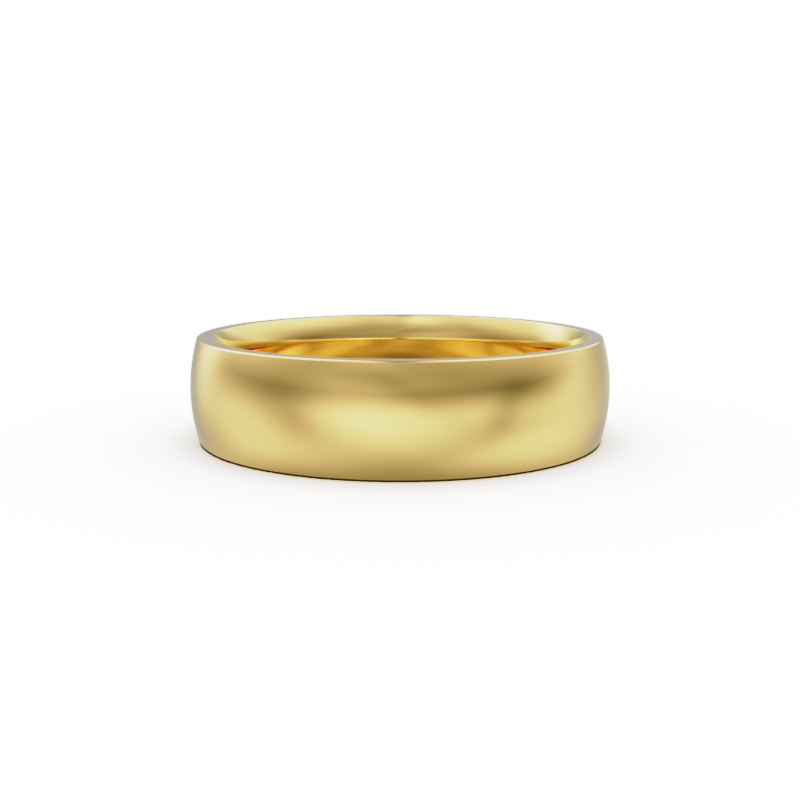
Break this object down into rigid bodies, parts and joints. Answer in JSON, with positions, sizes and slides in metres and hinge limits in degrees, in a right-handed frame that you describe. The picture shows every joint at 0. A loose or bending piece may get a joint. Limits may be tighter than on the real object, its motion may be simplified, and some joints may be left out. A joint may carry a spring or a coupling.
{
  "type": "wedding band",
  "caption": "Plain gold wedding band, softly domed outside, flat rims with softened edges, and a comfort-fit bore that flares towards the rims.",
  "frame": {"origin": "centre of the finger hole, at the level of the lower rim that the band lies on", "axes": "+Z along the finger axis, up through the hole; +X and +Y are two equal directions across the band"},
  "size_m": [0.02, 0.02, 0.005],
  "materials": {
    "gold": "high mirror polish, yellow gold"
  },
  "bodies": {
    "root": {"band": "gold"}
  },
  "joints": []
}
